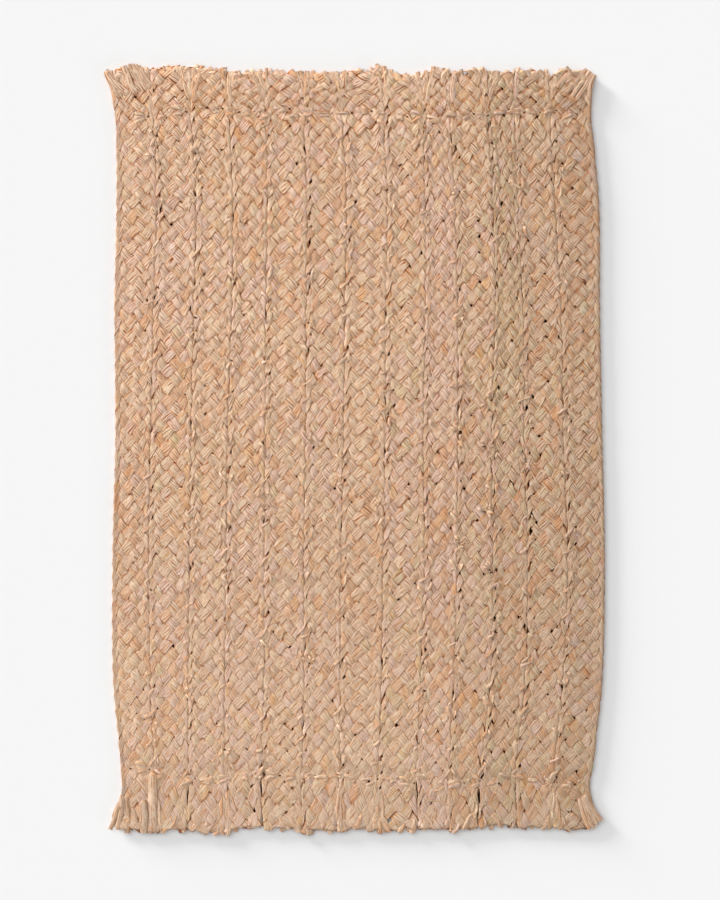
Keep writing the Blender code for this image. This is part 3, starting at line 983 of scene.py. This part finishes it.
def knots():
    rng = dice("knots")
    ribbons = []
    for knot in knotPlaces:
        hole = np.array((knot["x"], knot["y"]))
        ribbons += bunch("knot", stripAt(knot["x"]), hole, knot["leaves"], rng)
        for turn in rng.uniform(0, 2 * np.pi, knot["holes"]):
            ribbons.append(holeShadow(hole + 1.6 * np.array((np.cos(turn), np.sin(turn))), rng))
    return ribbons


def rowStitches(end):  # bunches of leaves, most of them drawn from the left down one hole
    rng = dice("rows", end)
    x = rowPlaces[0] + 2
    ribbons = []
    while x < rowPlaces[-1]:
        hole = (x, rowHeight(end, x) + rng.uniform(*stitching["rowWave"]))
        for kind, fewest in (("left", 3), ("above", 2), ("below", 1)):
            ribbons += bunch(kind, stripAt(x), hole, rng.integers(fewest, fewest + 2), rng)
        if rng.uniform() < stitching["rowHoleShadows"]:
            ribbons.append(holeShadow(hole, rng))
        x += rng.uniform(*stitching["row"])
    return ribbons


# Where the plaits part at their raw ends, loose strands fan out from the seam. One row for each fan:
# the seam, how far its tips lean, how far they spread, how many strands and how far past the cut.
fanColumns = "seam lean spread strands past"
fans = {
    "top": named(fanColumns, (
        (2, 0.5, 11.0, 4, 0.5), (3, -1.0, 7.0, 3, 0.5), (4, -5.0, 9.0, 4, 0.0), (5, 1.0, 8.0, 3, 0.0),
        (6, -2.0, 6.0, 2, 0.0), (7, 0.0, 7.0, 3, 2.0), (8, 1.0, 8.0, 3, 0.0), (9, -1.0, 7.0, 2, 0.0),
        (10, 3.0, 8.0, 3, 0.0), (11, -2.0, 8.0, 3, 0.0), (12, 3.0, 9.0, 3, 0.5),
    )),
    "bottom": named(fanColumns, (
        (1, 0.0, 5.0, 2, 1.0), (3, 0.0, 5.0, 2, 0.0), (6, 0.0, 5.0, 3, 0.0), (7, 0.0, 5.0, 2, 0.0),
        (12, 1.0, 5.0, 3, 0.0),
    )),
}
tuft = {
    "root": (4.0, 14.0),  # how far past the end row a strand comes up
    "width": (2.6, 4.0),
    "past": (-2.0, 1.0),  # how much farther than its fan's row says it is cut
    "cut": {"blunt": 0.8, "flat": 0.4, "neck": 9.0, "dive": 0.9},
}
fray = {
    "apart": 4.4,  # between neighbouring strands
    "rise": -0.25,  # they are half sunk in the weave
    "length": {"top": (5.0, 10.0), "bottom": (6.0, 13.0)},
    "lean": (22.0, 44.0),  # degrees
    "turns": 0.3,  # how often a strand leans the other way than the one before
    "past": {"top": (-2.0, 1.0), "bottom": (-1.0, 2.0)},  # how far past the solid's own end it is cut
    "width": (3.2, 4.8),
    # painted shade: the loose ends are darker at the bottom end
    "light": {"top": 0.98, "bottom": 0.92},
    "between": {"top": (-128.0, 128.0), "bottom": (-131.0, 143.0)},  # outside these lie single strands
    "cut": {"blunt": 0.6, "flat": 0.4, "neck": 9.0, "dive": 0.9},
    "flatness": 0.12,
}
tipSides = [sides(i, 240.0) for i in range(stripCount)]
tipPlaces = np.concatenate([np.linspace(a + 0.5, b - 0.5, plait["strands"]) for a, b in tipSides])
tipHeights = {end: np.concatenate([endReach(i, end) for i in range(stripCount)]) for end in ends}


def looseStrand(root, tip, width, bow, rise, tone, cut, rng):
    # it comes out of the weave by a narrow neck, lies on the plaits and ends in a more or less blunt cut
    path, sunk = runOver(root, tip, bow, rise, rng, cut["dive"], cut["flat"], cut=True)
    first, left = farFrom(path, 0), farFrom(path, -1)
    kept = 1.7 - 0.5 * fade(left, 0, 4)
    path[:, 2] = np.where(first > 3.0, np.maximum(path[:, 2], kept), path[:, 2])
    tapered = (0.35 + 0.65 * swell(first, 0, cut["neck"])) * (1 - (1 - cut["blunt"]) * fade(left, 0, 3.5))
    twist = rng.normal(0, 0.17) + 0.2 * np.sin(np.linspace(0, rng.uniform(1, 5), len(path)))
    # painted shade at its root, where it comes out from under the weave
    wave = -0.6 + 1.6 * swell(first, 0.4, 4.0)
    return {"path": path, "width": width * tapered, "roll": cut["flat"] * twist, "wave": wave, "tone": tone}


def tufts(end):
    sign = ends[end]
    rng = dice("tufts", end)
    ribbons = []
    for fan in fans[end]:
        for share in np.linspace(-0.5, 0.5, fan["strands"]):
            x = float(seamAt(fan["seam"], sign * 205.0)) + share * 1.5 + rng.uniform(-0.5, 0.5)
            root = (x, rowHeight(end, x) + sign * rng.uniform(*tuft["root"]))
            tipX = x + fan["lean"] + fan["spread"] * share + rng.uniform(-0.8, 0.8)
            reach = np.interp(tipX, tipPlaces, tipHeights[end])
            tip = (tipX, reach + sign * (fan["past"] + rng.uniform(*tuft["past"])))
            width = rng.uniform(*tuft["width"])
            bow = rng.normal(0, 0.4)
            tone = tanFor(rng, stitchLight(fan["seam"]))
            ribbons.append(looseStrand(root, tip, width, bow, fray["rise"], tone, tuft["cut"], rng))
    return ribbons


def frayedEnds(end):  # past its last crossings a plait is loose flat strands, cut ragged
    sign = ends[end]
    rng = dice("frays", end)
    ribbons = []
    for strip in range(stripCount):
        left, right = sides(strip, sign * 236.0)
        count = int((right - left) / fray["apart"])
        way = rng.choice((-1, 1))
        for number in range(count):
            tipX = left + (right - left) * (number + rng.uniform(0.1, 0.9)) / count
            if not fray["between"][end][0] < tipX < fray["between"][end][1]:
                continue
            length = rng.uniform(*fray["length"][end])
            way = way if rng.uniform() < 1 - fray["turns"] else -way
            lean = length * math.tan(math.radians(rng.uniform(*fray["lean"]))) * way
            rootX = np.clip(tipX - lean, left + 1.5, right - 1.5)
            past = rng.uniform(*fray["past"][end])
            tipY = np.interp(tipX, tipPlaces, tipHeights[end]) + sign * past
            width = rng.uniform(*fray["width"])
            bow = rng.normal(0, 0.4)
            rise = fray["rise"] + rng.uniform(-0.1, 0.1)
            tone = tanFor(rng, stitchLight(strip) * fray["light"][end])
            root = (rootX, tipY - sign * length)
            ribbons.append(looseStrand(root, (tipX, tipY), width, bow, rise, tone, fray["cut"], rng))
    return ribbons


stray = {
    "rise": -0.02,
    "plain": 0.22,  # how much the folds fade on the broad ones
    "broad": 5,
    "flatness": 0.08,
    "cut": {"blunt": 0.9, "flat": 0.15, "neck": 4.0, "dive": 1.7},
}
# Single strands that lie on top: from, to, width and bow, in millimetres, and their lightness, which follows
# the painted light and shade of the plaits beneath them.
strayPlaces = named("fromX fromY toX toY width bow light", (
    (-131.6, -208.0, -131.3, -248.6, 5.8, 0.0, 0.79),
    (-137.6, -226.0, -137.4, -248.8, 5.4, 0.2, 0.79),
    (-150.9, -224.5, -159.0, -246.6, 3.0, -0.1, 0.81),
    (-151.1, -223.0, -154.4, -246.6, 3.4, 0.3, 0.81),
    (-149.2, -222.6, -147.9, -249.0, 3.8, 0.4, 0.81),
    (-146.0, -231.0, -141.3, -243.5, 2.2, 0.4, 0.81),
    (43.2, -227.0, 61.4, -231.0, 1.4, 0.8, 0.85),
    (149.0, -224.0, 160.4, -240.2, 1.4, -0.6, 0.81),
    (148.0, -222.0, 158.6, -241.4, 2.4, -0.6, 0.81),
    (147.2, -223.0, 157.0, -243.6, 2.6, -0.5, 0.81),
    (146.2, -224.0, 154.6, -245.6, 2.6, -0.4, 0.81),
    (144.6, -225.0, 151.4, -246.6, 2.6, -0.3, 0.81),
    (-155.0, 224.0, -162.0, 245.5, 3.2, -0.6, 1.04),
    (-153.0, 226.0, -160.0, 240.0, 3.0, -0.4, 1.04),
    (-157.0, 237.0, -161.3, 246.8, 1.8, 0.0, 1.04),
    (-156.0, 237.0, -158.6, 246.0, 2.0, 0.0, 1.04),
    (-153.5, 236.0, -156.2, 245.8, 2.0, 0.2, 1.04),
    (-141.5, 229.0, -150.5, 249.0, 4.6, 0.6, 1.04),
    (-146.0, 229.0, -160.2, 243.0, 4.4, 0.6, 1.04),
    (-135.8, 230.5, -147.4, 250.0, 2.1, 0.4, 1.04),
    (-134.4, 231.2, -145.8, 250.2, 2.0, 0.4, 1.04),
    (-133.0, 232.0, -144.2, 250.2, 2.0, 0.3, 1.04),
    (-131.8, 233.0, -142.4, 249.8, 1.9, 0.3, 1.04),
    (-130.6, 234.0, -140.7, 249.0, 1.9, 0.3, 1.04),
    (151.8, 224.6, 152.6, 238.0, 2.6, 0.2, 0.86),
    (150.6, 226.0, 155.4, 243.1, 2.8, 0.5, 0.86),
    (142.5, 225.0, 154.6, 243.5, 3.2, 0.3, 0.86),
    (139.0, 227.0, 152.4, 245.5, 3.2, 0.2, 0.86),
    (135.5, 229.8, 150.2, 246.7, 3.2, 0.2, 0.86),
    (129.4, 233.0, 139.8, 244.4, 3.4, 0.2, 0.86),
    (141.0, 241.0, 137.0, 248.5, 2.0, 0.0, 0.86),
))


def strays():
    rng = dice("strays")
    ribbons = []
    for place in strayPlaces:
        start, end = (place["fromX"], place["fromY"]), (place["toX"], place["toY"])
        tone = np.array(tans["sand"]) * rng.normal(place["light"], 0.03)
        leaf = looseStrand(start, end, place["width"], place["bow"], stray["rise"], tone, stray["cut"], rng)
        ribbons.append({**leaf, "plain": stray["plain"] * (place["width"] > stray["broad"])})
    return ribbons


fibre = {
    "count": 150,
    "x": (-146, 146),
    "y": (-226, 236),
    "turns": (40, 62, 118, 140),  # degrees
    "length": (3.5, 13.0),
    "width": (0.35, 0.75),
    "rise": 0.05,
    "tans": ("straw", "straw", "amber"),
    "flatness": 0.12,
}


def looseFibres():  # hair-thin fibres that have come off the strands
    rng = dice("fibres")
    ribbons = []
    for number in range(fibre["count"]):
        start = np.array((rng.uniform(*fibre["x"]), rng.uniform(*fibre["y"])))
        turn = math.radians(rng.choice(fibre["turns"]) + rng.normal(0, 16))
        end = start + rng.uniform(*fibre["length"]) * np.array((math.cos(turn), math.sin(turn)))
        path, sunk = runOver(start, end, rng.normal(0, 1.0), fibre["rise"], rng, 1.8, 0.8)
        width = rng.uniform(*fibre["width"]) * (0.4 + 0.6 * swell(sunk, 0, 2))
        tone = tanFor(rng, rng.uniform(0.75, 1.1), fibre["tans"])
        ribbons.append({"path": path, "width": width, "wave": 1.0, "tone": tone})
    return ribbons


ribbonWeave = ribbonTree(plaitRaffia)
layRibbons("stray_strands", strays(), stray["flatness"])
layRibbons("loose_fibres", looseFibres(), fibre["flatness"])
for end in ends:
    row = layRibbons("row_stitches_" + end, rowStitches(end), stitching["flatness"]["row"])
    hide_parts("stitch_row_" + end)
    layRibbons("loose_ends_" + end, tufts(end) + frayedEnds(end), fray["flatness"])
seamRibbons = [ribbon for seam in range(1, stripCount) for ribbon in seamStitches(seam)]
layRibbons("seam_stitches", seamRibbons + knots(), stitching["flatness"]["seam"])
print("sewn")

floorShadow = {
    "pale": (0.905, 0.905, 0.905, 1),
    "under": (0.022, 0.014, 0.009, 1),  # painted shadow on the floor beneath the mat, which only its small holes and slits show
    "half": (150.0, 241.0),
    "soft": 4,
}
floor = bpy.data.meshes.new("floor")
floor.from_pydata([(-12, -12, 0), (12, -12, 0), (12, 12, 0), (-12, 12, 0)], [], [(0, 1, 2, 3)])
paper, bench, shader = newMaterial("paper")
# painted shadow: the floor turns near-black inside the mat's outline
place = bench.parts(bench.wire("ShaderNodeTexCoord", {}, {}, "Object"))
clear = [(abs(at) / mm).swell(half - floorShadow["soft"], half) for at, half in zip(place, floorShadow["half"])]
outside = clear[0].maths("MAXIMUM", clear[1])
sockets = {"Factor_Float": outside, "A_Color": floorShadow["under"], "B_Color": floorShadow["pale"]}
tint = bench.wire("ShaderNodeMix", {"data_type": "RGBA"}, sockets, "Result_Color")
bench.plug(shader["Base Color"], tint)
shader["Roughness"].default_value = 0.9
shader["Specular IOR Level"].default_value = 0.1
floor.materials.append(paper)
ground = show("floor", floor)

studio = {  # from where each soft light comes, as a direction, its strength and its spread in degrees
    "overhead": {"from": (-0.35, 0.30, 1.0), "strength": 1.30, "spread": 80.0},
    "window": {"from": (-0.76, 0.65, 0.11), "strength": 6.9, "spread": 15.5},
    "screen": {"from": (-0.8, 0.6, 0.62), "strength": 0.62, "spread": 40.0},
    "bounce": {"from": (0.8, -0.6, 0.25), "strength": 0.55, "spread": 24.0},
    "sky": 0.26,
}
for name in ("overhead", "window", "screen", "bounce"):
    data = bpy.data.lights.new(name, "SUN")
    data.energy = studio[name]["strength"]
    data.angle = math.radians(studio[name]["spread"])
    lamp = show(name, data)
    lamp.location = studio[name]["from"]
    lamp.rotation_euler = lamp.location.to_track_quat("Z", "Y").to_euler()
world = bpy.data.worlds.new("sky")
scene.world = world
world.use_nodes = True
world.node_tree.nodes["Background"].inputs["Color"].default_value = (1, 1, 1, 1)
world.node_tree.nodes["Background"].inputs["Strength"].default_value = studio["sky"]
scene.view_settings.view_transform = "Standard"

view = {"centre": (2.9, -0.3), "tall": 585.0, "height": 1600.0}
lens = bpy.data.cameras.new("camera")
lens.sensor_width = 36.0
lens.lens = lens.sensor_width * view["height"] / view["tall"]
camera = show("camera", lens)
camera.location = (view["centre"][0] * mm, view["centre"][1] * mm, view["height"] * mm)
scene.camera = camera
print("studio set")
